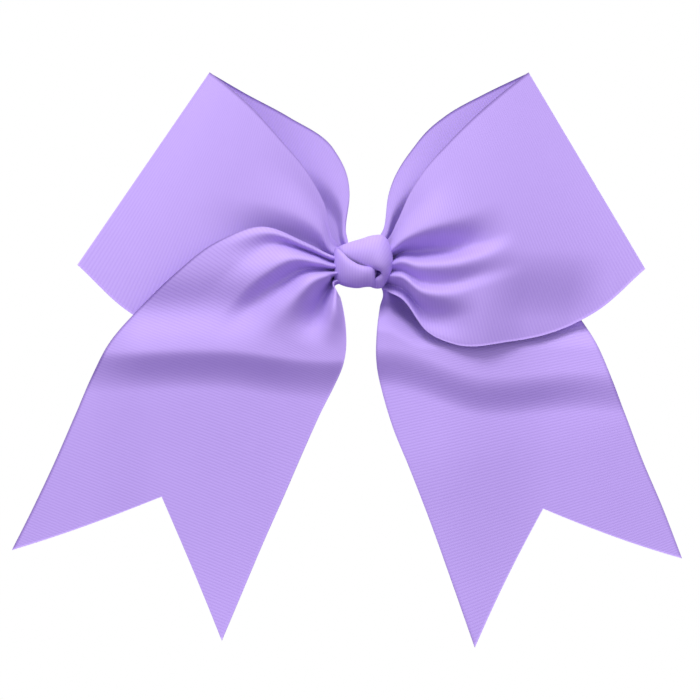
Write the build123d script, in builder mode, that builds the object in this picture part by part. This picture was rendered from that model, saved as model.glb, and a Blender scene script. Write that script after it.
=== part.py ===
from build123d import *

import math
import os

# Cheer hair bow on a single-lever alligator clip, in millimetres.
# Frame: X to the right as seen from the front, +Y from the bow towards the head, +Z up.
# The origin is the middle of the gathered centre, under the knot.

# ---------------------------------------------------------------- driving dimensions
RIBBON_THICKNESS = 0.7         # stiffened 75 mm grosgrain with its pleats lightly pressed
V_CUT_DEPTH = 33.0             # depth of the swallow-tail notch
V_CUT_OVERRUN = 1.1            # the notch's sides run on past the corners by this factor
V_CUT_REACH = 40.0             # cutting depth either way through the ribbon

NECK_LENGTH = 19.0             # gathered centre, along X
NECK_HEIGHT = 13.2             # along Z
NECK_DEPTH = 9.6               # along Y
NECK_CORNER = 4.4

THREAD_DIAMETER = 0.8
THREAD_TURNS = 7
THREAD_PITCH = 1.1
THREAD_CORNER = 4.8

STRIP_WIDTH = 12.0             # knot strip where it wraps to the back
STRIP_THICKNESS = 1.2
STRIP_HEIGHT = 17.6            # outside height of the wrapped strip
STRIP_FRONT = -7.0             # Y of its outer face in front
STRIP_BACK = 8.9               # Y of its outer face behind the clip's blade
STRIP_CORNER = 4.0

KNOT_WIDTH = 18.6
KNOT_HEIGHT = 16.6
KNOT_FRONT = -14.0             # Y of the knot's crown
KNOT_CORNER = 6.0
KNOT_CROWN = 4.0               # rounding of the crown
KNOT_GROOVE = 1.6              # valley between the knot's two lobes
KNOT_SLANT = 35                # degrees that the valley climbs to the right

SHEET_METAL = 0.8              # clip blade, jaw and ears
BLADE_FRONT = 6.3              # Y of the blade's face that is glued to the bow
BLADE_WIDTH = 8.0
BLADE_TIP_WIDTH = 6.0
BLADE_OVERHANG = 1.0           # the blade's tip covers the jaw's by this much
BLADE_TAPER = 17.0             # length over which the blade narrows to its tip
PIVOT_X = 18.0
PIVOT_Y = 10.2
JAW_REACH = 44.0               # pivot to tip
THUMB_REACH = 15.0             # pivot to the end of the thumb plates
JAW_WIDTH = 6.4
JAW_PIVOT_GAP = 2.75           # jaw's inner face behind the pin's axis
THUMB_RISE = 6.4               # how far the thumb tab bends away
JAW_DIP = 0.3                  # the jaw is this much nearer the blade where its ears begin
JAW_EAR_STEP = 0.6             # the ears' rear corners follow the tab back by this much
TAB_START = 1.0                # the tab bends this far behind the pin's axis
TIP_LENGTH = 6.0               # flat gripping land at the jaw's tip
EAR_LENGTH = 7.0
EAR_NOSE = 1.9                 # ears end this far past the pin's axis
JAW_EAR = 0.7                  # thickness of the jaw's ears
THUMB_CORNER = 2.0
TIP_CLEARANCE = 0.05
PIN_RADIUS = 1.0
PIN_HEAD_RADIUS = 1.6
PIN_HEAD_THICKNESS = 0.5
RUNNING_CLEARANCE = 0.05       # jaw ears on the pin
LINING_THICKNESS = 0.5
LINING_INSET = 0.3             # the lining's edges inside the blade's
LINING_TIP_INSET = 0.4
TIP_ROUND = 2.9                # corner radius at the blade's tip
LINING_TIP_ROUND = 2.5
GLUE_THICKNESS = 0.6
GLUE_FOOT = 3.0                # the pad grips the gather on both sides of the thread
GLUE_FOOT_PLACE = 6.5
GLUE_WIDTH = 7.0
GLUE_CORNER = 1.0

SPRING_TURNS = 4
WIRE = 0.9                     # spring wire diameter
COIL_RADIUS = 1.65             # to the wire's centre
COIL_PITCH = 0.95
LEG_LENGTH = 10.0
LEG_ANGLE_BLADE = -5.5         # degrees from +X, the leg that bears on the blade
LEG_ANGLE_TAB = 20.0           # degrees from +X, the leg that bears on the thumb tab

BLADE_BACK = BLADE_FRONT + SHEET_METAL
LINING_BACK = BLADE_BACK + LINING_THICKNESS

CREASE_FRONT = 3.4             # Y of the two layers where they are pressed together at the crease
CREASE_BACK = CREASE_FRONT + RIBBON_THICKNESS

# Ribbon stations. Each cuts the ribbon from one edge to the other:
# (one edge x, y, z), (other edge x, y, z), forward bulge of the middle, pleat depth.
# Front layers and tails run outwards from the knot, back layers from the crease to the knot.
LEFT_LOOP_FRONT = [
    ((-10.6, -2.4, 6.2), (-10.6, -2.4, -6.4), 0.0, 0.9),
    ((-15.5, -8.0, 24.0), (-20.0, -5.5, -11.5), 1.0, 1.8),
    ((-27.0, -16.0, 40.0), (-46.0, -7.5, -19.0), 2.0, 1.2),
    ((-40.0, -15.0, 53.5), (-70.0, -7.0, -17.0), 1.5, 0.0),
    ((-48.0, CREASE_FRONT, 60.0), (-90.0, CREASE_FRONT, -1.0), 0.0, 0.0),
]
LEFT_LOOP_BACK = [
    ((-90.0, CREASE_BACK, -1.0), (-48.0, CREASE_BACK, 60.0), 0.0, 0.0),
    ((-66.0, 3.5, -15.5), (-32.0, 7.5, 51.5), 0.0, 0.0),
    ((-40.0, 2.5, -16.0), (-15.0, 7.0, 41.0), 0.0, 0.4),
    ((-17.5, 1.6, -10.0), (-6.0, 4.0, 26.0), 0.0, 0.8),
    ((-10.6, 2.0, -6.0), (-9.9, 2.0, 10.4), 0.0, 0.6),
]
RIGHT_LOOP_FRONT = [
    ((10.6, -4.6, 6.4), (10.6, -4.6, -6.8), 0.0, 0.9),
    ((14.5, -9.0, 21.0), (14.5, -9.0, -14.5), 1.0, 2.0),
    ((25.0, -16.0, 35.5), (27.0, -12.5, -24.5), 2.5, 1.4),
    ((40.5, -15.0, 51.0), (60.0, -8.0, -22.0), 2.0, 0.0),
    ((52.0, CREASE_FRONT, 60.0), (89.0, CREASE_FRONT, -2.5), 0.0, 0.0),
]
RIGHT_LOOP_BACK = [
    ((89.0, CREASE_BACK, -2.5), (52.0, CREASE_BACK, 60.0), 0.0, 0.0),
    ((63.0, 0.5, -17.5), (34.0, 6.0, 52.5), 0.0, 0.0),
    ((38.0, -2.0, -18.5), (17.0, 5.5, 39.0), 0.0, 0.4),
    ((17.0, -1.5, -12.0), (8.5, 1.5, 23.0), 0.0, 0.6),
    ((10.6, -0.8, -6.2), (9.9, -0.8, 10.4), 0.0, 0.5),
]
LEFT_TAIL = [
    ((-12.6, -8.0, 2.6), (-10.8, -7.4, -7.6), 0.0, 0.6),
    ((-31.5, -14.0, 10.8), (-8.0, -12.5, -15.0), 1.0, 2.0),
    ((-53.0, -15.5, 2.0), (-6.5, -19.0, -25.0), 3.0, 1.4),
    ((-70.5, -12.0, -14.0), (-8.5, -17.0, -37.0), 3.0, 0.5),
    ((-83.0, -1.0, -29.5), (-16.0, -5.0, -54.5), 1.5, 0.0),
    ((-92.0, 6.0, -49.0), (-25.0, 4.5, -77.0), 0.0, 0.0),
    ((-102.0, 9.0, -70.0), (-35.0, 8.5, -99.0), 0.0, 0.0),
    ((-111.5, 9.5, -91.5), (-44.5, 9.5, -120.5), 0.0, 0.0),
]
RIGHT_TAIL = [
    ((10.6, 2.4, -8.6), (13.6, 2.4, 0.5), 0.0, 0.4),
    ((8.0, 2.4, -15.0), (31.0, 3.0, 7.0), 0.0, 0.7),
    ((6.0, -1.0, -26.0), (53.0, 5.0, 0.0), 1.0, 0.8),
    ((6.0, -3.0, -38.0), (70.0, 7.0, -18.0), 1.5, 0.3),
    ((12.5, 4.0, -62.0), (80.0, 8.0, -38.0), 0.5, 0.0),
    ((20.5, 8.5, -83.0), (87.5, 9.5, -57.0), 0.0, 0.0),
    ((28.0, 9.5, -103.0), (95.0, 9.8, -76.0), 0.0, 0.0),
    ((35.5, 9.5, -122.5), (102.0, 9.5, -94.5), 0.0, 0.0),
]
SECTION_STEPS = 8              # spans across the ribbon in each section's outline
SPANS = 3                      # sections from one station to the next
PLEATS = 2.5                   # waves across the ribbon


def ribbon_section(edge_a, edge_b, bulge, pleat):
    """The ribbon's closed cross-section, on the plane that runs from edge to edge."""
    start, end = Vector(*edge_a), Vector(*edge_b)
    across = (end - start).normalized()
    depth = (Vector(0, 1, 0) - across * across.Y).normalized()
    half = (end - start).length / 2
    plane = Plane(origin=(start + end) / 2, x_dir=across, z_dir=across.cross(depth))
    front, back = [], []
    for step in range(SECTION_STEPS + 1):
        place = 2 * step / SECTION_STEPS - 1
        wave = pleat * math.cos(PLEATS * math.pi * place) - bulge * (1 - place**2)
        front.append((half * place, wave))
        back.append((half * place, wave + RIBBON_THICKNESS))
    with BuildSketch(plane) as section:
        with BuildLine():
            Spline(*front)
            Spline(*back)
            Line(front[0], back[0])
            Line(front[-1], back[-1])
        make_face()
    return section.sketch


def between(before, start, end, after, place):
    """A number on the smooth curve through four neighbouring stations, between the middle two."""
    slope_in, slope_out = (end - before) / 2, (after - start) / 2
    return (
        start * (2 * place**3 - 3 * place**2 + 1)
        + end * (3 * place**2 - 2 * place**3)
        + slope_in * (place**3 - 2 * place**2 + place)
        + slope_out * (place**3 - place**2)
    )


def ribbon_sections(stations):
    """Closed sections all along a ribbon layer, evenly spread between its stations."""
    rows = [(*edge_a, *edge_b, bulge, pleat) for edge_a, edge_b, bulge, pleat in stations]
    rows = [rows[0], *rows, rows[-1]]
    sections = []
    for first in range(len(rows) - 3):
        for span in range(SPANS):
            numbers = [between(*column, span / SPANS) for column in zip(*rows[first : first + 4])]
            sections.append(ribbon_section(numbers[0:3], numbers[3:6], numbers[6], numbers[7]))
    sections.append(ribbon_section(*stations[-1]))
    return sections


def swallow_tail(stations):
    """The plane and corners of the V cut at the ribbon's end."""
    corner_a, corner_b = (Vector(*edge) for edge in stations[-1][:2])
    inner_a, inner_b = (Vector(*edge) for edge in stations[-2][:2])
    middle = (corner_a + corner_b) / 2
    inward = ((inner_a + inner_b) / 2 - middle).normalized()
    notch = middle + inward * V_CUT_DEPTH
    outside_a = notch + (corner_a - notch) * V_CUT_OVERRUN
    outside_b = notch + (corner_b - notch) * V_CUT_OVERRUN
    outline = (outside_a, notch, outside_b)
    return [(point.X, point.Z) for point in outline]


# ---------------------------------------------------------------- the bow's ribbon
with BuildPart() as gathered_centre:
    with BuildSketch(Plane.YZ.offset(-NECK_LENGTH / 2)):
        RectangleRounded(NECK_DEPTH, NECK_HEIGHT, NECK_CORNER)
    extrude(amount=NECK_LENGTH)
gathered_centre.part.label = "gathered_centre"

with BuildPart() as left_loop_front:
    loft(ribbon_sections(LEFT_LOOP_FRONT), ruled=True)
left_loop_front.part.label = "left_loop_front"

with BuildPart() as left_loop_back:
    loft(ribbon_sections(LEFT_LOOP_BACK), ruled=True)
left_loop_back.part.label = "left_loop_back"

with BuildPart() as right_loop_front:
    loft(ribbon_sections(RIGHT_LOOP_FRONT), ruled=True)
right_loop_front.part.label = "right_loop_front"

with BuildPart() as right_loop_back:
    loft(ribbon_sections(RIGHT_LOOP_BACK), ruled=True)
right_loop_back.part.label = "right_loop_back"

with BuildPart() as left_tail:
    loft(ribbon_sections(LEFT_TAIL), ruled=True)
    with BuildSketch(Plane.XZ):
        Polygon(*swallow_tail(LEFT_TAIL), align=None)
    extrude(amount=V_CUT_REACH, both=True, mode=Mode.SUBTRACT)
left_tail.part.label = "left_tail"

with BuildPart() as right_tail:
    loft(ribbon_sections(RIGHT_TAIL), ruled=True)
    with BuildSketch(Plane.XZ):
        Polygon(*swallow_tail(RIGHT_TAIL), align=None)
    extrude(amount=V_CUT_REACH, both=True, mode=Mode.SUBTRACT)
right_tail.part.label = "right_tail"

# ---------------------------------------------------------------- what holds the gather
with BuildPart() as gather_thread:
    for turn in range(THREAD_TURNS):
        place = (turn - (THREAD_TURNS - 1) / 2) * THREAD_PITCH
        with BuildSketch(Plane.YZ.offset(place - THREAD_DIAMETER / 2)):
            RectangleRounded(
                NECK_DEPTH + 2 * THREAD_DIAMETER,
                NECK_HEIGHT + 2 * THREAD_DIAMETER,
                THREAD_CORNER,
            )
            RectangleRounded(NECK_DEPTH, NECK_HEIGHT, NECK_CORNER, mode=Mode.SUBTRACT)
        extrude(amount=THREAD_DIAMETER)
gather_thread.part.label = "gather_thread"

with BuildPart() as knot_strip:
    with BuildSketch(Plane.YZ.offset(-STRIP_WIDTH / 2)):
        with Locations(((STRIP_FRONT + STRIP_BACK) / 2, 0)):
            RectangleRounded(STRIP_BACK - STRIP_FRONT, STRIP_HEIGHT, STRIP_CORNER)
            RectangleRounded(
                STRIP_BACK - STRIP_FRONT - 2 * STRIP_THICKNESS,
                STRIP_HEIGHT - 2 * STRIP_THICKNESS,
                STRIP_CORNER - STRIP_THICKNESS,
                mode=Mode.SUBTRACT,
            )
    extrude(amount=STRIP_WIDTH)
knot_strip.part.label = "knot_strip"

with BuildPart() as centre_knot:
    with BuildSketch(Plane.XZ.offset(-STRIP_FRONT)):
        RectangleRounded(KNOT_WIDTH, KNOT_HEIGHT, KNOT_CORNER)
    extrude(amount=STRIP_FRONT - KNOT_FRONT)
    fillet(centre_knot.faces().sort_by(Axis.Y)[0].edges(), KNOT_CROWN)
    with BuildSketch(Plane.XZ.offset(-KNOT_FRONT)):
        with Locations(Location((0, 0), KNOT_SLANT)):
            SlotOverall(KNOT_WIDTH, KNOT_GROOVE)
    extrude(amount=-KNOT_GROOVE, mode=Mode.SUBTRACT)
centre_knot.part.label = "centre_knot"

with BuildPart() as glue_pad:
    with BuildSketch(Plane.XZ.offset(-NECK_DEPTH / 2)):
        with Locations((-GLUE_FOOT_PLACE, 0), (GLUE_FOOT_PLACE, 0)):
            RectangleRounded(GLUE_FOOT, GLUE_WIDTH, GLUE_CORNER)
    extrude(amount=NECK_DEPTH / 2 - BLADE_FRONT)
    with BuildSketch(Plane.XZ.offset(-BLADE_FRONT)):
        RectangleRounded(2 * GLUE_FOOT_PLACE + GLUE_FOOT, GLUE_WIDTH, GLUE_CORNER)
    extrude(amount=GLUE_THICKNESS)
glue_pad.part.label = "glue_pad"

# ---------------------------------------------------------------- the alligator clip
blade_tip_x = PIVOT_X - JAW_REACH - BLADE_OVERHANG
blade_rear_x = PIVOT_X + THUMB_REACH
blade_taper_x = blade_tip_x + BLADE_TAPER
with BuildPart() as clip_top_blade:
    with BuildSketch(Plane.XZ.offset(-BLADE_BACK)):
        with BuildLine():
            Polyline(
                (blade_tip_x, -BLADE_TIP_WIDTH / 2),
                (blade_taper_x, -BLADE_WIDTH / 2),
                (blade_rear_x, -BLADE_WIDTH / 2),
                (blade_rear_x, BLADE_WIDTH / 2),
                (blade_taper_x, BLADE_WIDTH / 2),
                (blade_tip_x, BLADE_TIP_WIDTH / 2),
                close=True,
            )
        make_face()
    extrude(amount=SHEET_METAL)
    fillet(clip_top_blade.edges().filter_by(Axis.Y).group_by(Axis.X)[0], TIP_ROUND)
    fillet(clip_top_blade.edges().filter_by(Axis.Y).group_by(Axis.X)[-1], THUMB_CORNER)
    for side in (-1, 1):
        with BuildSketch(Plane.XY.offset(side * BLADE_WIDTH / 2)):
            with BuildLine():
                Polyline(
                    (PIVOT_X - EAR_LENGTH / 2, BLADE_FRONT),
                    (PIVOT_X + EAR_LENGTH / 2, BLADE_FRONT),
                    (PIVOT_X + EAR_NOSE, PIVOT_Y + EAR_NOSE),
                    (PIVOT_X - EAR_NOSE, PIVOT_Y + EAR_NOSE),
                    close=True,
                )
            make_face()
        extrude(amount=-side * SHEET_METAL)
    with Locations(Location((PIVOT_X, PIVOT_Y, 0))):
        Cylinder(PIN_RADIUS, 2 * BLADE_WIDTH, mode=Mode.SUBTRACT)
clip_top_blade.part.label = "clip_top_blade"

jaw_inner_y = PIVOT_Y + JAW_PIVOT_GAP
tip_x = PIVOT_X - JAW_REACH
tab_x = PIVOT_X + THUMB_REACH
jaw_path = [
    (tip_x, LINING_BACK + TIP_CLEARANCE),
    (tip_x + TIP_LENGTH, LINING_BACK + TIP_CLEARANCE),
    (PIVOT_X - EAR_LENGTH / 2, jaw_inner_y - JAW_DIP),
    (PIVOT_X + TAB_START, jaw_inner_y),
    (tab_x, jaw_inner_y + THUMB_RISE),
]
with BuildPart() as clip_jaw:
    with BuildSketch(Plane.XY.offset(-JAW_WIDTH / 2)):
        with BuildLine():
            Polyline(*jaw_path)
            offset(amount=-SHEET_METAL, side=Side.LEFT)
        make_face()
    extrude(amount=JAW_WIDTH)
    for side in (-1, 1):
        with BuildSketch(Plane.XY.offset(side * JAW_WIDTH / 2)):
            with BuildLine():
                Polyline(
                    (PIVOT_X - EAR_LENGTH / 2, jaw_inner_y),
                    (PIVOT_X - EAR_NOSE, PIVOT_Y - EAR_NOSE),
                    (PIVOT_X + EAR_NOSE, PIVOT_Y - EAR_NOSE),
                    (PIVOT_X + EAR_LENGTH / 2, jaw_inner_y + JAW_EAR_STEP),
                    close=True,
                )
            make_face()
        extrude(amount=-side * JAW_EAR)
    with Locations(Location((PIVOT_X, PIVOT_Y, 0))):
        Cylinder(PIN_RADIUS + RUNNING_CLEARANCE, 2 * JAW_WIDTH, mode=Mode.SUBTRACT)
clip_jaw.part.label = "clip_jaw"

pin_length = BLADE_WIDTH + 2 * PIN_HEAD_THICKNESS
with BuildPart() as clip_pin:
    with BuildSketch(Plane.XY.offset(-pin_length / 2)):
        with Locations((PIVOT_X, PIVOT_Y)):
            Circle(PIN_RADIUS)
    extrude(amount=pin_length)
    for side in (-1, 1):
        with BuildSketch(Plane.XY.offset(side * BLADE_WIDTH / 2)):
            with Locations((PIVOT_X, PIVOT_Y)):
                Circle(PIN_HEAD_RADIUS)
        extrude(amount=side * PIN_HEAD_THICKNESS)
clip_pin.part.label = "clip_pin"

# The coil starts where the tab leg runs on from it and ends where the blade leg does.
coil_start = 90 + LEG_ANGLE_TAB
coil_turns = SPRING_TURNS + (LEG_ANGLE_BLADE - 90 - coil_start) / 360
coil_height = coil_turns * COIL_PITCH
pin_axis = Axis((PIVOT_X, PIVOT_Y, 0), (0, 0, 1))
coil_centre = (PIVOT_X, PIVOT_Y, -coil_height / 2)
with BuildPart() as clip_spring:
    with BuildLine() as wire_path:
        unturned_coil = Helix(COIL_PITCH, coil_height, COIL_RADIUS, coil_centre, mode=Mode.PRIVATE)
        coil = unturned_coil.rotate(pin_axis, coil_start)
        add(coil)
        Line(coil @ 0 - (coil % 0) * LEG_LENGTH, coil @ 0)
        Line(coil @ 1, coil @ 1 + (coil % 1) * LEG_LENGTH)
    with BuildSketch(Plane(origin=coil @ 0 - (coil % 0) * LEG_LENGTH, z_dir=coil % 0)):
        Circle(WIRE / 2)
    sweep(path=wire_path.line)
clip_spring.part.label = "clip_spring"

lining_half = BLADE_WIDTH / 2 - LINING_INSET
lining_tip_half = BLADE_TIP_WIDTH / 2 - LINING_INSET
lining_tip_x = blade_tip_x + LINING_TIP_INSET
with BuildPart() as clip_lining:
    with BuildSketch(Plane.XZ.offset(-LINING_BACK)):
        with BuildLine():
            Polyline(
                (lining_tip_x, -lining_tip_half),
                (blade_taper_x, -lining_half),
                (PIVOT_X - EAR_LENGTH, -lining_half),
                (PIVOT_X - EAR_LENGTH, lining_half),
                (blade_taper_x, lining_half),
                (lining_tip_x, lining_tip_half),
                close=True,
            )
        make_face()
    extrude(amount=LINING_THICKNESS)
    fillet(clip_lining.edges().filter_by(Axis.Y).group_by(Axis.X)[0], LINING_TIP_ROUND)
clip_lining.part.label = "clip_lining"

# ---------------------------------------------------------------- one file for each piece
os.makedirs("parts", exist_ok=True)
for piece in (
    gathered_centre,
    left_loop_front,
    left_loop_back,
    right_loop_front,
    right_loop_back,
    left_tail,
    right_tail,
    gather_thread,
    knot_strip,
    centre_knot,
    glue_pad,
    clip_top_blade,
    clip_lining,
    clip_jaw,
    clip_pin,
    clip_spring,
):
    export_step(piece.part, f"parts/{piece.part.label}.step")
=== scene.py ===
"""Cheer hair bow in lilac grosgrain on an alligator clip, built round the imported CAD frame.

Every shape table below is in millimetres in the frame of the CAD model: x to the right, y from the
bow towards the head, z up, origin in the middle of the gathered centre.
"""

import math

import bpy
import numpy as np
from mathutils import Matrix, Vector


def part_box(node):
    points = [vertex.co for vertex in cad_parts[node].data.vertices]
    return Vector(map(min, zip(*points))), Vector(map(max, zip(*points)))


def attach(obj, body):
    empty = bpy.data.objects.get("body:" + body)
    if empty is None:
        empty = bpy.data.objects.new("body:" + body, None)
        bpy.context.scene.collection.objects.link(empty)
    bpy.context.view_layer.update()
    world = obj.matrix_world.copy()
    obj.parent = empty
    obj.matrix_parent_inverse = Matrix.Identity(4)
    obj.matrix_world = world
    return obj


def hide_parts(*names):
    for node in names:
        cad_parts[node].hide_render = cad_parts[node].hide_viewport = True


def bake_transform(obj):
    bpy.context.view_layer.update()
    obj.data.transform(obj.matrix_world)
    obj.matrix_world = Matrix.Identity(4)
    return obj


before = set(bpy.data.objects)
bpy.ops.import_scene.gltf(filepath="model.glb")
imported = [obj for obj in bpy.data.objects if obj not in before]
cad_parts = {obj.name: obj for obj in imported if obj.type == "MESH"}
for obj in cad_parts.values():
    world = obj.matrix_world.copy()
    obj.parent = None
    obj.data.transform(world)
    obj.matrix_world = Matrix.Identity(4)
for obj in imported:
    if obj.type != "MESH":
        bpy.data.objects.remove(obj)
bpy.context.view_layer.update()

MM = 0.001
RIBBON_WIDTH = 75.0            # 3 in grosgrain
RIBBON_THICKNESS = 0.45
GRID_STEP = 1.0                # spacing of the ribbon meshes' rows and columns
RIB_PITCH = 0.95               # one grosgrain rib and its groove
THREAD_PITCH = 0.32            # one warp thread and the gap beside it
WOVEN_EDGE = 0.9               # width of the ribbon's darker woven edge
CREASE_GAP = 1.1               # between the two layers of a loop at its outer fold
V_CUT_REACH = 60.0             # length of tail over which the rows turn into the V of its end
LEFT_V_DEPTH = 35.0
RIGHT_V_DEPTH = 32.5
DRIFT_START, DRIFT_RUN = 12, 36    # where along the ribbon a pleat moves sideways
DEPTH_AT_KNOT = 0.75           # a pleat's depth at the knot, as a share of its greatest depth
KNOT_WIDTH = 16
TUCKED_WIDTH = 8
WRAP_WIDTH = 12
LINING_WIDTH = 8
LILAC = (0.52, 0.382, 0.82)
# darker lilac: painted shade in the grooves between the ribs, and the real colour of the woven edges
LILAC_GROOVE_SHADE_AND_EDGE = (0.47, 0.328, 0.78)


# ---------------------------------------------------------------- curves and grids
def smooth(x):
    """0 up to x = 0, 1 from x = 1, and a smooth step between."""
    x = np.clip(x, 0.0, 1.0)
    return x * x * (3 - 2 * x)


def rising(value, start, run):
    """0 up to start, 1 from run above it, and a smooth step between."""
    return smooth((value - start) / run)


def falling(value, start, run):
    """0 down to start, 1 from run below it, and a smooth step between."""
    return smooth((start - value) / run)


def curve_through(places, values, samples):
    """A smooth curve through values at rising places, read at samples."""
    places, values = np.asarray(places, float), np.asarray(values, float)
    values = values.reshape(len(places), -1)
    slopes = np.gradient(values, places, axis=0)
    left = np.clip(np.searchsorted(places, samples, side="right") - 1, 0, len(places) - 2)
    gap = (places[left + 1] - places[left])[:, None]
    s = (np.asarray(samples) - places[left])[:, None] / gap
    start, end = values[left], values[left + 1]
    return (
        start * (2 * s**3 - 3 * s**2 + 1)
        + end * (3 * s**2 - 2 * s**3)
        + gap * slopes[left] * (s**3 - 2 * s**2 + s)
        + gap * slopes[left + 1] * (s**3 - s**2)
    )


def fold_depths(folds, across, away):
    """How far the pleats push each point back (+) or forward (-).

    A fold is (place across at the knot, how far that place drifts on the way out, depth, where it is
    deepest, where it has faded out), the last two as distances along the ribbon from the knot.
    """
    rows = []
    for distance in away:
        drifted = rising(distance, DRIFT_START, DRIFT_RUN)
        places, depths = [0.0], [0.0]
        for place, drift, depth, deepest, faded in folds:
            growing = DEPTH_AT_KNOT + (1 - DEPTH_AT_KNOT) * rising(distance, 0, deepest)
            fading = 1 - rising(distance, deepest, faded - deepest)
            places.append(place + drift * drifted)
            depths.append(depth * (growing if distance < deepest else fading))
        places, depths = np.array([*places, 1.0]), np.array([*depths, 0.0])
        left = np.clip(np.searchsorted(places, across, side="right") - 1, 0, len(places) - 2)
        blend = rising(across, places[left], places[left + 1] - places[left])
        rows.append(depths[left] * (1 - blend) + depths[left + 1] * blend)
    return np.array(rows)


def ribbon_grid(stations, folds=(), extra_depth=None, crown=1.0, step=GRID_STEP):
    """Points of a ribbon, as rows along it and columns across it.

    A station is (first edge x, y, z), (second edge x, y, z), forward bulge of the middle. The first
    station is at the knot. crown 1 bulges like a parabola, 0.5 like a half ellipse.
    """
    edges = np.array([[*first, *second, bulge] for first, second, bulge in stations], float)
    middle = (edges[:, 0:3] + edges[:, 3:6]) / 2
    longest = np.maximum(
        np.linalg.norm(np.diff(edges[:, 0:3], axis=0), axis=1),
        np.linalg.norm(np.diff(edges[:, 3:6], axis=0), axis=1),
    )
    runs = (np.linalg.norm(np.diff(middle, axis=0), axis=1) + longest) / 2
    reach = np.concatenate([[0], np.cumsum(runs)])
    samples = np.linspace(0, reach[-1], int(reach[-1] / step) + 2)
    rows = curve_through(reach, edges, samples)
    wide = np.linalg.norm(edges[:, 3:6] - edges[:, 0:3], axis=1).max()
    across = np.linspace(0, 1, 2 * int(wide / step / 2) + 3)
    first, second, bulge = rows[:, None, 0:3], rows[:, None, 3:6], rows[:, None, 6]
    grid = first + (second - first) * across[None, :, None]
    grid[:, :, 1] -= bulge * np.power(4 * across * (1 - across), crown)[None, :]
    if extra_depth is not None:
        grid[:, :, 1] += extra_depth(grid[:, :, 0], grid[:, :, 2])
    if folds:
        grid[:, :, 1] += fold_depths(folds, across, samples)
    return grid


def along_of(grid):
    """Distance along the ribbon of each row, as the mean of its columns."""
    lengths = np.linalg.norm(np.diff(grid, axis=0), axis=2).mean(axis=1)
    return np.concatenate([[0], np.cumsum(lengths)])


def cut_end(grid, depth):
    """The grid with its last rows drawn back into a V of that depth, and each point's place along it."""
    along = along_of(grid)
    across = np.linspace(0, 1, grid.shape[1])
    end = along[-1] - depth * (1 - np.abs(2 * across - 1))
    start = along[-1] - V_CUT_REACH
    place = np.repeat(along[:, None], grid.shape[1], axis=1)
    beyond = along > start
    share = (along[beyond][:, None] - start) / V_CUT_REACH
    place[beyond] = start + share * (end - start)[None, :]
    cut = np.empty_like(grid)
    for column in range(grid.shape[1]):
        for axis in range(3):
            cut[:, column, axis] = np.interp(place[:, column], along, grid[:, column, axis])
    return cut, place


def mesh_object(name, points, faces, shaded_smooth=True):
    """A new object of the mesh given in metres, in the scene."""
    mesh = bpy.data.meshes.new(name)
    mesh.from_pydata(points, [], faces)
    if shaded_smooth:
        mesh.shade_smooth()
    piece = bpy.data.objects.new(name, mesh)
    bpy.context.collection.objects.link(piece)
    return piece


def ribbon_piece(name, grid, place=None, width=RIBBON_WIDTH, thickness=RIBBON_THICKNESS):
    """A closed mesh of the ribbon's real thickness, with its length and width in metres as its UVs."""
    rows, columns, _ = grid.shape
    if place is None:
        place = np.repeat(along_of(grid)[:, None], columns, axis=1)
    flat = np.stack([place, np.repeat(np.linspace(0, width, columns)[None, :], rows, axis=0)], axis=2)
    normal = np.cross(np.gradient(grid, axis=0), np.gradient(grid, axis=1))
    normal /= np.linalg.norm(normal, axis=2, keepdims=True) + 1e-12
    front = grid + normal * thickness / 2
    back = grid - normal * thickness / 2
    points = np.concatenate([front.reshape(-1, 3), back.reshape(-1, 3)])
    index = np.arange(rows * columns).reshape(rows, columns)
    corners = [index[:-1, :-1], index[1:, :-1], index[1:, 1:], index[:-1, 1:]]
    sheet_faces = np.stack([corner.ravel() for corner in corners], axis=1)
    rim = np.concatenate([index[0, :], index[1:, -1], index[-1, -2::-1], index[-2:0:-1, 0]])
    after = np.roll(rim, -1)
    count = rows * columns
    rim_faces = np.stack([after, rim, rim + count, after + count], axis=1)
    faces = np.concatenate([sheet_faces, sheet_faces[:, ::-1] + count, rim_faces])
    piece = mesh_object(name, (points * MM).tolist(), faces.tolist())
    layer = piece.data.uv_layers.new(name="Ribbon")
    vertex_of = np.empty(len(piece.data.loops), int)
    piece.data.loops.foreach_get("vertex_index", vertex_of)
    layer.data.foreach_set("uv", (flat.reshape(-1, 2) * MM)[vertex_of % count].ravel())
    return piece


def crease_rows(front_row, back_row, outward, count=7):
    """Rows round the outer fold of a loop, from its front layer to its back layer."""
    centre = (front_row + back_row) / 2
    radius = np.abs(back_row[:, 1:2] - front_row[:, 1:2]) / 2
    rows = []
    for angle in np.linspace(-math.pi / 2, math.pi / 2, count)[1:-1]:
        turned = math.cos(angle) * np.array([outward[0], 0, outward[1]])
        turned = turned + math.sin(angle) * np.array([0, 1, 0])
        rows.append(centre + radius * turned)
    return np.array(rows)


def even_columns(grid, columns):
    """The same rows with another number of columns."""
    old, new = np.linspace(0, 1, grid.shape[1]), np.linspace(0, 1, columns)
    return np.stack(
        [[np.interp(new, old, row[:, axis]) for axis in range(3)] for row in grid]
    ).transpose(0, 2, 1)


def loop_grid(front_stations, front_folds, back_stations, back_folds, outward, front_depth=None):
    """A whole loop: out from the knot in front, round its crease and back to the knot behind.

    outward is the direction across the crease, in x and z.
    """
    front = ribbon_grid(front_stations, front_folds, front_depth)
    back = ribbon_grid(back_stations, back_folds)
    columns = min(front.shape[1], back.shape[1])
    front, back = even_columns(front, columns), even_columns(back, columns)
    return np.concatenate([front, crease_rows(front[-1], back[-1], outward), back[::-1]])


# ---------------------------------------------------------------- materials
def new_material(name, roughness, metallic=0.0):
    """A new material, with its node tree and its shader."""
    material = bpy.data.materials.new(name)
    material.use_nodes = True
    shader = material.node_tree.nodes["Principled BSDF"]
    shader.inputs["Roughness"].default_value = roughness
    shader.inputs["Metallic"].default_value = metallic
    return material, material.node_tree, shader


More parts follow.
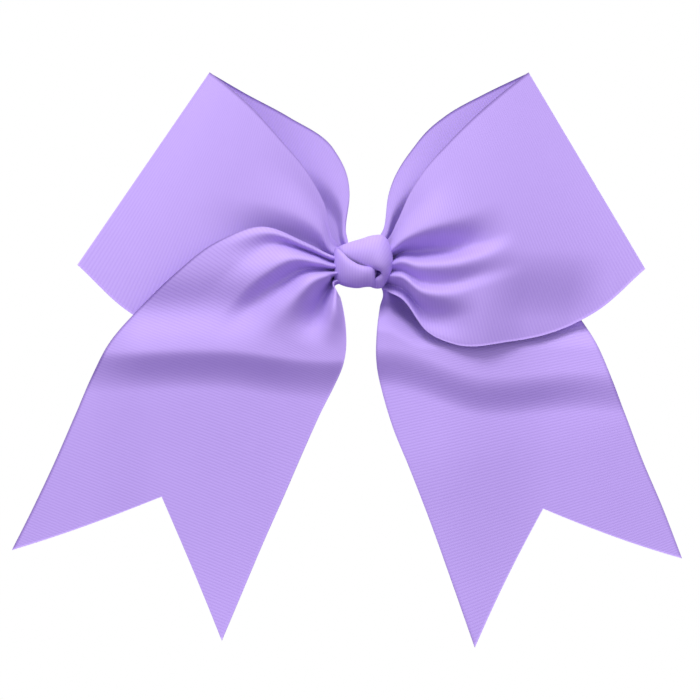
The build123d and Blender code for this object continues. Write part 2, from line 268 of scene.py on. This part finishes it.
def math_node(tree, operation, a, b=None, c=None):
    """The result of one operation; each operand is a number or a socket."""
    node = tree.nodes.new("ShaderNodeMath")
    node.operation = operation
    for socket, value in zip(node.inputs, (a, b, c)):
        if value is None:
            continue
        if isinstance(value, (int, float)):
            socket.default_value = value
        else:
            tree.links.new(value, socket)
    return node.outputs[0]


def mixed_colour(tree, factor, a, b):
    """a where the factor is 0 and b where it is 1; each is a colour or a colour socket."""
    node = tree.nodes.new("ShaderNodeMix")
    node.data_type = "RGBA"
    tree.links.new(factor, node.inputs[0])
    for socket, value in ((node.inputs[6], a), (node.inputs[7], b)):
        if isinstance(value, tuple):
            socket.default_value = (*value, 1)
        else:
            tree.links.new(value, socket)
    return node.outputs[2]


def noise(tree, scale, detail, vector=None):
    """Smooth noise from 0 to 1, in the object's own place unless a vector is given."""
    node = tree.nodes.new("ShaderNodeTexNoise")
    node.inputs["Scale"].default_value = scale
    node.inputs["Detail"].default_value = detail
    if vector is None:
        vector = tree.nodes.new("ShaderNodeTexCoord").outputs["Object"]
    tree.links.new(vector, node.inputs["Vector"])
    return node.outputs["Fac"]


def bump(tree, shader, height, distance, strength):
    """Small relief from a height of 0 to 1, which stands for that distance in metres."""
    node = tree.nodes.new("ShaderNodeBump")
    node.inputs["Strength"].default_value = strength
    node.inputs["Distance"].default_value = distance
    tree.links.new(height, node.inputs["Height"])
    tree.links.new(node.outputs[0], shader.inputs["Normal"])


def waves(tree, place, pitch):
    """A sine wave from 0 to 1, once every pitch in millimetres along place, which is in metres."""
    sine = math_node(tree, "SINE", math_node(tree, "MULTIPLY", place, 2 * math.pi / (pitch * MM)))
    return math_node(tree, "MULTIPLY_ADD", sine, 0.5, 0.5)


def grosgrain(name, width=RIBBON_WIDTH):
    """Lilac grosgrain ribbon: ribs across it with painted shade in the grooves between them, fine warp
    threads along them, and woven edges.
    """
    material, tree, shader = new_material(name, roughness=0.72)
    shader.inputs["Sheen Weight"].default_value = 0.25
    shader.inputs["Sheen Roughness"].default_value = 0.4
    shader.inputs["Sheen Tint"].default_value = (0.85, 0.75, 1.0, 1)
    shader.inputs["Specular IOR Level"].default_value = 0.3
    uv = tree.nodes.new("ShaderNodeUVMap")
    uv.uv_map = "Ribbon"
    split = tree.nodes.new("ShaderNodeSeparateXYZ")
    tree.links.new(uv.outputs[0], split.inputs[0])
    length, across = split.outputs[0], split.outputs[1]
    ribs = math_node(tree, "POWER", waves(tree, length, RIB_PITCH), 0.5)
    threads = waves(tree, across, THREAD_PITCH)
    mottle = noise(tree, scale=160, detail=4)
    fibre = noise(tree, scale=2600, detail=2)
    # painted shade: the grooves between the ribs are coloured darker than their crests
    ribs_with_groove_shade = mixed_colour(tree, ribs, LILAC_GROOVE_SHADE_AND_EDGE, LILAC)
    paler = tuple(part * 1.05 for part in LILAC)
    varied = mixed_colour(tree, math_node(tree, "MULTIPLY", mottle, 0.35), ribs_with_groove_shade, paler)
    near_edge = math_node(tree, "LESS_THAN", across, WOVEN_EDGE * MM)
    far_edge = math_node(tree, "GREATER_THAN", across, (width - WOVEN_EDGE) * MM)
    edge = math_node(tree, "MULTIPLY", math_node(tree, "MAXIMUM", near_edge, far_edge), 0.35)
    tree.links.new(mixed_colour(tree, edge, varied, LILAC_GROOVE_SHADE_AND_EDGE), shader.inputs["Base Color"])
    weave = math_node(tree, "MULTIPLY_ADD", threads, 0.25, ribs)
    height = math_node(tree, "MULTIPLY_ADD", fibre, 0.3, weave)
    bump(tree, shader, height, distance=0.06 * MM, strength=0.45)
    return material


def metal(name, colour, roughness, scratch_scale, lengthened):
    """Plated steel with scratches that run lengthened times as far along x, and duller worn patches."""
    material, tree, shader = new_material(name, roughness, metallic=1.0)
    brushed = tree.nodes.new("ShaderNodeVectorMath")
    brushed.operation = "MULTIPLY"
    brushed.inputs[1].default_value = (1 / lengthened, 1, 1)
    tree.links.new(tree.nodes.new("ShaderNodeTexCoord").outputs["Object"], brushed.inputs[0])
    scratch = noise(tree, scratch_scale, 8, brushed.outputs[0])
    wear = noise(tree, scale=90, detail=4)
    worn = tuple(part * 0.78 for part in colour)
    streaked = mixed_colour(tree, scratch, worn, colour)
    tree.links.new(mixed_colour(tree, wear, streaked, worn), shader.inputs["Base Color"])
    rough = math_node(tree, "MULTIPLY_ADD", scratch, 0.22, roughness - 0.1)
    tree.links.new(rough, shader.inputs["Roughness"])
    bump(tree, shader, scratch, distance=0.02 * MM, strength=0.35)
    return material


def glue_material():
    """Milky hot-melt glue."""
    material, tree, shader = new_material("hot_glue_milky", roughness=0.28)
    shader.inputs["Subsurface Weight"].default_value = 0.4
    shader.inputs["Subsurface Radius"].default_value = (0.002, 0.002, 0.002)
    cloud = noise(tree, scale=400, detail=3)
    colour = mixed_colour(tree, cloud, (0.86, 0.84, 0.76), (0.74, 0.72, 0.62))
    tree.links.new(colour, shader.inputs["Base Color"])
    bump(tree, shader, cloud, distance=0.15 * MM, strength=0.5)
    return material


def thread_material():
    """Twisted sewing thread."""
    material, tree, shader = new_material("sewing_thread", roughness=0.6)
    twist = noise(tree, scale=1800, detail=3)
    colour = mixed_colour(tree, twist, (0.50, 0.34, 0.78), (0.66, 0.52, 0.90))
    tree.links.new(colour, shader.inputs["Base Color"])
    bump(tree, shader, twist, distance=0.08 * MM, strength=0.8)
    return material


lilac = grosgrain("lilac_grosgrain_ribbon")
knot_lilac = grosgrain("lilac_grosgrain_knot", KNOT_WIDTH)
lining_lilac = grosgrain("lilac_grosgrain_lining", LINING_WIDTH)
nickel = metal(
    "nickel_plate_brushed", (0.82, 0.81, 0.79), roughness=0.28, scratch_scale=2200, lengthened=24
)
spring_steel = metal(
    "spring_steel_wire", (0.60, 0.60, 0.62), roughness=0.34, scratch_scale=1400, lengthened=1
)
milky_glue = glue_material()
sewing_thread = thread_material()


def finish_piece(piece, material, slot, *nodes):
    """Gives a piece its material and hides the CAD nodes that it stands for; slot is not used."""
    piece.data.materials.append(material)
    if nodes:
        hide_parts(*nodes)
    return piece


# ---------------------------------------------------------------- left tail
LEFT_TAIL = (
    ((-5, -4.2, 1.5), (-5, -4.2, -6.0), 0.5),
    ((-9.5, -6.2, 2.0), (-9.0, -6.0, -7.2), 0.8),
    ((-18.5, -9.5, 6.2), (-7.4, -9.5, -11.5), 2.0),
    ((-31.6, -12.0, 11.2), (-6.0, -12.5, -18), 2.5),
    ((-46, -12.0, 6.8), (-5.4, -12.5, -25), 2.0),
    ((-60, -11.0, -3.5), (-6.2, -12.5, -32), 1.5),
    ((-73.1, -9.0, -16.1), (-9.5, -12.5, -40), 1.5),
    ((-81, -8.5, -25.5), (-14, -12.5, -49), 1.0),
    ((-86.5, -8.5, -35.5), (-18.5, -12.5, -59), 0.5),
    ((-92, -8.5, -48), (-25, -12.5, -74), 0.0),
    ((-99.5, -8.5, -65), (-32.5, -12.5, -91), 0.0),
    ((-106.4, -8.5, -79.4), (-39.1, -12.5, -106.6), 0.0),
    ((-113.0, -8.5, -92.4), (-45.4, -12.5, -121.5), 0.0),
)
LEFT_TAIL_FOLDS = (
    (0.06, 0.0, -1.6, 16, 40),
    (0.18, 0.0, 3.2, 16, 38),
    (0.36, -0.03, -2.6, 26, 60),
    (0.48, -0.05, 4.6, 26, 66),
    (0.60, -0.01, -4.0, 24, 56),
    (0.74, 0.01, 7.5, 20, 52),
    (0.88, 0.0, -3.0, 20, 46),
)


def left_tail_drop(x, z):
    """The tail is hollow under its upper edge, and below its puff it falls back to hang flat."""
    start = -28.5 - 2.5 * rising(x, -45, 35) + 0.5 * np.sin(x / 11)
    turned_back = smooth(np.clip((start - z) / 12.5, 0, 1) ** 0.75)
    depth = 6.4 - 2.4 * falling(x, -66, 22) - 1.4 * rising(x, -32, 20)
    hollow = np.exp(-(((z + 11 - 0.06 * x) / 8) ** 2)) * falling(x, -26, 20) * rising(x, -84, 14)
    return depth * turned_back + 4.6 * falling(z, -38, 75) + 3.8 * hollow


left_tail_points, left_tail_place = cut_end(
    ribbon_grid(LEFT_TAIL, LEFT_TAIL_FOLDS, left_tail_drop), LEFT_V_DEPTH
)
left_tail = ribbon_piece("left_tail_ribbon", left_tail_points, left_tail_place)
finish_piece(left_tail, lilac, "lilac_grosgrain", "left_tail")

# ---------------------------------------------------------------- right tail
RIGHT_TAIL = (
    ((5, 2.0, -5.5), (6, 2.0, 1.0), 0.3),
    ((6.4, 2.0, -9.0), (14.5, 3.0, 0.5), 0.4),
    ((5.4, 2.2, -14.5), (33, 5.4, 8), 0.6),
    ((4.4, 2.2, -22), (52, 6.6, 2), 0.8),
    ((4.2, 2.0, -31), (65, 6.4, -11), 0.8),
    ((5.4, 1.6, -38.5), (74, 5.2, -23.8), 0.6),
    ((9.6, 0.8, -53), (80, 3.8, -37), 0.2),
    ((14.5, 0, -65), (84.5, 3.0, -48.5), 0.0),
    ((21.5, 0, -83), (90.2, 3.0, -63.5), 0.0),
    ((28.2, 0, -101.6), (96.6, 3.0, -78.4), 0.0),
    ((36.0, 0, -123.8), (103.2, 3.0, -95.4), 0.0),
)
RIGHT_TAIL_FOLDS = (
    (0.10, 0.0, -1.6, 14, 40),
    (0.26, 0.0, 2.6, 16, 46),
    (0.42, 0.0, -2.0, 18, 44),
    (0.60, 0.0, 2.0, 16, 40),
    (0.80, 0.0, -1.5, 16, 40),
)


def right_tail_drop(x, z):
    """The tail puffs forward under the loop, then turns back and hangs flat.

    Both turns are higher on its inner side.
    """
    puff_start = -10.5 - 5.5 * rising(x, 6, 14)
    puff = (5.5 * rising(x, 24, 36) - 9.5) * falling(z, puff_start, 12)
    start = -27.5 - 8.0 * rising(x, 5, 35) + 0.8 * np.sin(x / 9)
    depth = 5.4 - 1.6 * rising(x, 55, 28)
    return puff + depth * falling(z, start, 13) + 3.4 * falling(z, -46, 60)


right_tail_points, right_tail_place = cut_end(
    ribbon_grid(RIGHT_TAIL, RIGHT_TAIL_FOLDS, right_tail_drop), RIGHT_V_DEPTH
)
right_tail = ribbon_piece("right_tail_ribbon", right_tail_points, right_tail_place)
finish_piece(right_tail, lilac, "lilac_grosgrain", "right_tail")

# ---------------------------------------------------------------- left loop
LEFT_LOOP_FRONT = (
    ((-5, -2.0, 5.0), (-5, -2.0, -6.0), 0.3),
    ((-9, -3.0, 6.8), (-9.3, -2.4, -7.0), 0.8),
    ((-12.6, -5.5, 19), (-17, -3.5, -12.5), 2.0),
    ((-18, -7.5, 29), (-27, -4.0, -17), 2.5),
    ((-26.7, -8.5, 39.6), (-40, -4.0, -20.5), 2.5),
    ((-35, -7.0, 49), (-57.5, -3.5, -24.5), 2.0),
    ((-42.5, -3.0, 56), (-75.5, -1.5, -15.6), 1.0),
    ((-48.9, 2.6, 61.2), (-91.6, 2.6, -1.0), 0.0),
)
LEFT_LOOP_FOLDS = (
    (0.12, 0.0, 0.6, 14, 40),
    (0.28, 0.08, -1.9, 18, 50),
    (0.46, 0.06, 2.4, 28, 66),
    (0.70, 0.0, -1.5, 20, 50),
    (0.86, 0.0, 1.2, 20, 50),
)
LEFT_LOOP_BACK = (
    ((-5, 0.5, 7.5), (-5, 0.5, -5.0), 0.0),
    ((-5.6, 0.6, 11), (-9.5, 1.5, -6.0), 0.0),
    ((-4.4, 2.6, 22), (-17.5, 1.8, -10), 0.0),
    ((-9.5, 5.6, 37), (-38, 2.8, -16), 0.0),
    ((-24, 8.5, 47.5), (-62, 4.2, -21), 0.0),
    ((-38, 7.0, 55), (-79, 4.4, -12.2), 0.0),
    ((-48.9, 2.6 + CREASE_GAP, 61.2), (-91.6, 2.6 + CREASE_GAP, -1.0), 0.0),
)
LEFT_BACK_FOLDS = (
    (0.16, 0.0, -0.8, 18, 46),
    (0.31, 0.0, 2.4, 20, 54),
    (0.60, 0.0, 0.8, 20, 50),
)
left_loop = ribbon_piece(
    "left_loop_ribbon",
    loop_grid(
        LEFT_LOOP_FRONT,
        LEFT_LOOP_FOLDS,
        LEFT_LOOP_BACK,
        LEFT_BACK_FOLDS,
        outward=(-0.824, 0.567),
    ),
)
finish_piece(left_loop, lilac, "lilac_grosgrain", "left_loop_front", "left_loop_back")

# ---------------------------------------------------------------- right loop
RIGHT_LOOP_FRONT = (
    ((5, -2.6, 5.5), (5, -3.0, -7.0), 0.3),
    ((8.2, -4.0, 7.8), (7.4, -4.6, -9.0), 0.8),
    ((11, -6.0, 13), (12.4, -7.5, -11.6), 2.0),
    ((15.1, -7.5, 22.2), (20.6, -9.0, -22.2), 3.0),
    ((19.3, -8.5, 29), (30, -9.0, -26.3), 4.0),
    ((27.4, -9.0, 38.3), (46, -8.5, -25.4), 3.2),
    ((35, -7.5, 46), (60, -6.0, -22.6), 3.2),
    ((43.5, -3.5, 53.6), (74.5, -2.0, -16.0), 2.0),
    ((52.8, 2.6, 61.2), (90.5, 2.6, -2.3), 0.0),
)
RIGHT_LOOP_FOLDS = (
    (0.12, 0.0, 0.6, 12, 30),
    (0.28, 0.08, -2.6, 20, 50),
    (0.41, 0.10, 7.8, 26, 58),
    (0.52, 0.06, -1.8, 26, 56),
    (0.63, 0.03, 2.4, 18, 60),
    (0.71, 0.0, -2.8, 17, 40),
    (0.85, -0.02, 5.2, 15, 38),
)


def right_loop_slope(x, z):
    """The lower half of the right loop leans back, so that it turns from the light."""
    middle = rising(x, 37, 16) * (1 - rising(x, 66, 16))
    return 4.8 * falling(z, 4, 22) * middle


RIGHT_LOOP_BACK = (
    ((5, 0.5, 8.0), (5, 0.0, -5.0), 0.0),
    ((6.6, 0.6, 11), (9.5, -0.8, -6.0), 0.0),
    ((8.2, 2.6, 22), (17, -1.5, -12), 0.0),
    ((17.5, 5.6, 39), (38, -2.0, -18), 0.0),
    ((27, 7.5, 48), (58, 0.5, -18), 0.0),
    ((40, 7.0, 55.2), (76, 2.5, -11), 0.0),
    ((52.8, 2.6 + CREASE_GAP, 61.2), (90.5, 2.6 + CREASE_GAP, -2.3), 0.0),
)
RIGHT_BACK_FOLDS = (
    (0.16, 0.0, -0.8, 18, 46),
    (0.31, 0.0, 2.4, 20, 54),
    (0.60, 0.0, 0.6, 20, 50),
)
right_loop = ribbon_piece(
    "right_loop_ribbon",
    loop_grid(
        RIGHT_LOOP_FRONT,
        RIGHT_LOOP_FOLDS,
        RIGHT_LOOP_BACK,
        RIGHT_BACK_FOLDS,
        outward=(0.86, 0.51),
        front_depth=right_loop_slope,
    ),
)
finish_piece(right_loop, lilac, "lilac_grosgrain", "right_loop_front", "right_loop_back")

# ---------------------------------------------------------------- knot
UPPER_LOBE = (
    ((-8.2, -4.5, 4.0), (-7.6, -4.5, 2.2), 0.8),
    ((-7.0, -6.0, 5.2), (-6.6, -7.0, 1.6), 1.8),
    ((-4.2, -6.5, 6.3), (-4.8, -6.6, -0.2), 3.4),
    ((-0.5, -6.5, 7.4), (-2.4, -6.0, -1.6), 5.2),
    ((3.2, -6.5, 8.5), (0.6, -7.2, -2.4), 5.6),
    ((6.5, -6.5, 8.4), (2.9, -9.6, -1.9), 4.4),
    ((8.8, -6.5, 4.2), (4.6, -10.0, -2.3), 3.8),
    ((9.3, -6.5, 0.0), (5.8, -9.8, -3.0), 2.8),
    ((8.7, -6.5, -3.3), (6.2, -9.0, -4.4), 1.8),
    ((7.2, -6.0, -6.2), (5.6, -7.0, -6.6), 0.9),
    ((6.0, -4.0, -8.0), (4.4, -4.5, -7.8), 0.4),
)
LOWER_LOBE = (
    ((-8.6, -3.0, 3.6), (-8.4, -3.0, -5.2), 0.6),
    ((-9.0, -5.5, 3.8), (-9.0, -5.0, -5.7), 1.4),
    ((-8.3, -7.8, 4.3), (-8.5, -6.0, -6.2), 2.0),
    ((-6.7, -9.6, 3.0), (-6.4, -7.4, -7.2), 2.6),
    ((-4.2, -10.9, 0.7), (-4.0, -8.0, -7.8), 2.8),
    ((-1.4, -11.3, -0.9), (-1.6, -8.2, -8.0), 2.6),
    ((1.2, -11.1, -1.5), (1.0, -8.0, -7.6), 2.6),
    ((3.0, -10.0, -1.6), (3.0, -7.6, -7.6), 2.4),
    ((3.6, -8.5, -1.8), (3.6, -6.0, -7.6), 2.2),
    ((3.4, -6.8, -2.2), (3.4, -5.5, -6.5), 1.6),
)
TUCKED_END = (
    ((2.6, -7.0, -5.4), (2.4, -6.0, -7.6), 0.6),
    ((4.0, -8.6, -5.2), (4.2, -6.0, -8.1), 1.0),
    ((5.4, -9.2, -4.2), (5.8, -6.0, -7.9), 1.2),
    ((6.6, -9.2, -2.8), (7.4, -6.0, -5.8), 1.2),
    ((7.4, -7.5, -1.6), (8.2, -5.5, -4.0), 0.8),
)


def knot_lobe(name, stations, width, *nodes):
    """One turn of the knot's ribbon, as a fine mesh with a full round crown."""
    piece = ribbon_piece(name, ribbon_grid(stations, crown=0.5, step=0.35), width=width, thickness=0.5)
    finish_piece(piece, knot_lilac, "lilac_grosgrain", *nodes)
    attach(piece, "root")
    return piece


upper_lobe = knot_lobe("knot_upper_lobe", UPPER_LOBE, KNOT_WIDTH, "centre_knot")
lower_lobe = knot_lobe("knot_lower_lobe", LOWER_LOBE, KNOT_WIDTH)
tucked_end = knot_lobe("knot_tucked_end", TUCKED_END, TUCKED_WIDTH)


def squared_off(value, power):
    """A cosine or sine pushed outward, for a form between a circle and a square."""
    return np.sign(value) * np.abs(value) ** power


def ring_points(half_y, half_z, power, turns):
    """A rounded square round the x axis: y and z at each turn."""
    angle = 2 * math.pi * turns
    y = half_y * squared_off(np.cos(angle), 2 / power)
    z = half_z * squared_off(np.sin(angle), 2 / power)
    return y, z


def knot_wrap():
    """The ribbon of the knot where it goes over the gathers and round the clip's upper blade."""
    half_width, middle_y, slant = 5.9, 0.75, 0.9
    turns = np.linspace(0, 1, 121)
    across = np.linspace(-1, 1, 25)
    y, z = ring_points(half_y=7.6, half_z=7.0, power=4, turns=turns)
    waist = 1 - 0.25 * falling(y, 1, 5)
    grid = np.empty((len(turns), len(across), 3))
    for column, share in enumerate(across):
        crumple = 0.012 * np.sin(9 * share + 14 * turns)
        inward = 1 - 0.035 * abs(share) ** 3 + crumple
        grid[:, column, 0] = half_width * share * waist + 0.25 * math.sin(5 * share)
        grid[:, column, 1] = middle_y + y * inward
        grid[:, column, 2] = z * inward + slant * share * rising(z, 0, 7)
    return ribbon_piece("knot_wrap", grid, width=WRAP_WIDTH, thickness=0.9)


wrap = finish_piece(knot_wrap(), knot_lilac, "lilac_grosgrain", "knot_strip")
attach(wrap, "root")


# ---------------------------------------------------------------- gathered centre and its thread
def gathered_centre():
    """The pleats of the three passes of ribbon, squeezed together under the knot."""
    half_length, pleats, broad_pleats, waist = 9.0, 17, 9, 0.86
    turns = np.linspace(0, 1, 241)
    along = np.linspace(-1, 1, 41)
    y, z = ring_points(half_y=4.1, half_z=5.5, power=3.2, turns=turns)
    grid = np.empty((len(along), len(turns), 3))
    for row, share in enumerate(along):
        pinch = waist + (1 - waist) * abs(share) ** 1.5
        pleat = 0.07 * np.sin(2 * math.pi * pleats * turns + 0.6 * share)
        pleat = pleat + 0.03 * np.sin(2 * math.pi * broad_pleats * turns + 2.0)
        grid[row, :, 0] = half_length * share
        grid[row, :, 1] = y * (pinch + pleat)
        grid[row, :, 2] = z * (pinch + pleat)
    return ribbon_piece("gathered_pleats", grid, thickness=0.4)


gathers = finish_piece(gathered_centre(), lilac, "lilac_grosgrain", "gathered_centre")
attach(gathers, "root")


def ring_faces(rings, sides):
    """The faces between rings of points, each ring joined to the next."""
    faces = []
    for ring in range(rings - 1):
        for side in range(sides):
            a, b = ring * sides + side, ring * sides + (side + 1) % sides
            faces.append((a, b, b + sides, a + sides))
    return faces


def tube(name, path, radius, turned_round, sides):
    """A round wire or thread along a path in millimetres that turns round the axis given."""
    path = np.asarray(path, float)
    tangent = np.gradient(path, axis=0)
    tangent /= np.linalg.norm(tangent, axis=1, keepdims=True)
    normal = np.cross(tangent, np.array(turned_round))
    normal /= np.linalg.norm(normal, axis=1, keepdims=True)
    binormal = np.cross(tangent, normal)
    points = []
    for place, n, b in zip(path, normal, binormal):
        for side in range(sides):
            angle = 2 * math.pi * side / sides
            points.append((place + radius * (math.cos(angle) * n + math.sin(angle) * b)) * MM)
    faces = ring_faces(len(path), sides)
    faces.append(tuple(range(sides))[::-1])
    faces.append(tuple(range((len(path) - 1) * sides, len(path) * sides)))
    return mesh_object(name, points, faces)


def thread_winding():
    """Turns of thread pulled tight round the gathers."""
    whole_turns, span, radius = 7, 6.6, 0.35
    turns = np.linspace(0, whole_turns, 60 * whole_turns + 1)
    y, z = ring_points(half_y=4.3, half_z=5.8, power=3.2, turns=turns)
    x = -span / 2 + span * turns / whole_turns
    path = np.stack([x, y, z], axis=1)
    return tube("thread_winding", path, radius, turned_round=(1.0, 0, 0), sides=10)


winding = finish_piece(thread_winding(), sewing_thread, "thread", "gather_thread")
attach(winding, "root")


# ---------------------------------------------------------------- glue, lining and clip
def glue_blob():
    """The bead of hot glue pressed out between the gathers and the clip."""
    rings, sides, roundness = 24, 48, 0.7
    half_x, half_y, half_z, middle_y = 7.6, 0.85, 3.3, 5.5
    points = []
    for ring in range(rings + 1):
        lift = math.pi * ring / rings
        for side in range(sides):
            angle = 2 * math.pi * side / sides
            wobble = 1 + 0.05 * math.sin(3 * angle + 1) + 0.04 * math.sin(5 * angle)
            out = math.sin(lift) ** 0.35 * wobble * MM
            points.append((
                half_x * out * squared_off(math.cos(angle), roundness),
                (middle_y - half_y * math.cos(lift)) * MM,
                half_z * out * squared_off(math.sin(angle), roundness),
            ))
    return mesh_object("glue_bead", points, ring_faces(rings + 1, sides))


glue = finish_piece(glue_blob(), milky_glue, "hot_glue", "glue_pad")
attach(glue, "root")


def lining_grid():
    """Ribbon stuck along the inside of the upper blade, narrower at the blade's tip."""
    low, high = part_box("clip_lining")
    rows = np.linspace(low[0], high[0], 45) / MM
    across = np.linspace(-1, 1, 13)
    half_width = (high[2] - low[2]) / 2 / MM - 0.1
    taper = 1 - 0.25 * falling(rows, -22, 5)
    grid = np.empty((len(rows), len(across), 3))
    for column, share in enumerate(across):
        grid[:, column, 0] = rows
        grid[:, column, 1] = (low[1] + high[1]) / 2 / MM
        grid[:, column, 2] = half_width * share * taper
    return grid


lining = ribbon_piece("clip_lining_ribbon", lining_grid(), width=LINING_WIDTH, thickness=0.4)
finish_piece(lining, lining_lilac, "lining_ribbon", "clip_lining")
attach(lining, "root")

PIN = (18.0, 10.2)                 # the hinge pin's x and y
COIL_RADIUS, COIL_PITCH, WIRE_RADIUS, LEG_LENGTH = 1.65, 0.95, 0.45, 10.0
TAB_LEG_ANGLE, BLADE_LEG_ANGLE = 20.0, -5.5    # degrees from x towards y
WHOLE_TURNS = 4
COIL_HEIGHT = COIL_PITCH * (WHOLE_TURNS + (BLADE_LEG_ANGLE - 180 - TAB_LEG_ANGLE) / 360)


def clip_spring():
    """The torsion spring on the pin, from its leg on the thumb tab to its leg on the blade."""
    first = math.radians(90 + TAB_LEG_ANGLE)
    last = math.radians(BLADE_LEG_ANGLE - 90 + 360 * WHOLE_TURNS)
    angles = np.linspace(first, last, 181)
    x = PIN[0] + COIL_RADIUS * np.cos(angles)
    y = PIN[1] + COIL_RADIUS * np.sin(angles)
    z = np.linspace(-COIL_HEIGHT / 2, COIL_HEIGHT / 2, len(angles))
    path = list(np.stack([x, y, z], axis=1))
    for end, degrees in ((0, TAB_LEG_ANGLE), (-1, BLADE_LEG_ANGLE)):
        out = np.array([math.cos(math.radians(degrees)), math.sin(math.radians(degrees)), 0])
        leg = [path[end] + out * LEG_LENGTH * share for share in np.linspace(0, 1, 13)[1:]]
        path = leg[::-1] + path if end == 0 else path + leg
    return tube("spring_wire", path, WIRE_RADIUS, turned_round=(0, 0, 1.0), sides=14)


spring = finish_piece(clip_spring(), spring_steel, "spring_steel", "clip_spring")

for node_name in ("clip_top_blade", "clip_jaw", "clip_pin"):
    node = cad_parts[node_name]
    node.data.materials.clear()
    node.data.materials.append(nickel)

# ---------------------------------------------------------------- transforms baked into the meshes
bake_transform(left_tail)
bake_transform(right_tail)
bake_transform(left_loop)
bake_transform(right_loop)
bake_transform(spring)

# ---------------------------------------------------------------- studio
camera = bpy.data.objects.new("camera", bpy.data.cameras.new("camera"))
camera.data.lens = 200
camera.data.sensor_width = 36
camera.data.clip_end = 100
camera.location = (-0.0042, -1.252, -0.0280)
camera.rotation_euler = (math.radians(90), 0, 0)
bpy.context.collection.objects.link(camera)
bpy.context.scene.camera = camera
bpy.context.scene.view_settings.view_transform = "Standard"


def studio_world():
    """White to the camera, and a soft light that is strongest from above and in front."""
    world = bpy.data.worlds.new("studio")
    bpy.context.scene.world = world
    world.use_nodes = True
    tree = world.node_tree
    background = tree.nodes["Background"]
    direction = tree.nodes.new("ShaderNodeTexCoord").outputs["Generated"]
    facing = tree.nodes.new("ShaderNodeVectorMath")
    facing.operation = "DOT_PRODUCT"
    tree.links.new(direction, facing.inputs[0])
    facing.inputs[1].default_value = (-0.17, -0.42, 0.89)
    share = math_node(tree, "MULTIPLY_ADD", facing.outputs["Value"], 0.5, 0.5)
    rays = tree.nodes.new("ShaderNodeLightPath")
    low = mixed_colour(tree, rays.outputs["Is Glossy Ray"], (0.12, 0.03, 0.32), (0.42, 0.42, 0.44))
    light = mixed_colour(tree, share, low, (0.95, 0.95, 0.97))
    seen = rays.outputs["Is Camera Ray"]
    colour = mixed_colour(tree, seen, light, (1.0, 1.0, 1.0))
    tree.links.new(colour, background.inputs[0])
    background.inputs[1].default_value = 1.0


def studio_floor():
    """A wide pale floor well below the bow."""
    size, height, cells = 4.0, -0.7, 8
    steps = np.linspace(-size, size, cells + 1)
    points = [(x, y, height) for y in steps for x in steps]
    faces = []
    for row in range(cells):
        for column in range(cells):
            a = row * (cells + 1) + column
            faces.append((a, a + 1, a + cells + 2, a + cells + 1))
    floor = mesh_object("floor", points, faces, shaded_smooth=False)
    material, tree, shader = new_material("floor_white", roughness=0.9)
    shade = noise(tree, scale=3, detail=2)
    colour = mixed_colour(tree, shade, (0.95, 0.95, 0.95), (0.97, 0.97, 0.97))
    tree.links.new(colour, shader.inputs["Base Color"])
    shader.inputs["Emission Color"].default_value = (1, 1, 1, 1)
    shader.inputs["Emission Strength"].default_value = 0.6
    floor.data.materials.append(material)
    floor.visible_diffuse = False
    floor.visible_glossy = False


def sun(name, strength, angle, direction):
    """A sun lamp that shines in that direction, as wide as that angle in degrees."""
    light = bpy.data.lights.new(name, "SUN")
    light.energy = strength
    light.angle = math.radians(angle)
    lamp = bpy.data.objects.new(name, light)
    lamp.rotation_euler = Vector(direction).to_track_quat("-Z", "Y").to_euler()
    bpy.context.collection.objects.link(lamp)


studio_world()
studio_floor()
sun("key", strength=1.85, angle=24, direction=(0.14, 0.62, -0.78))
sun("back_fill", strength=1.5, angle=50, direction=(-0.35, -0.8, -0.5))
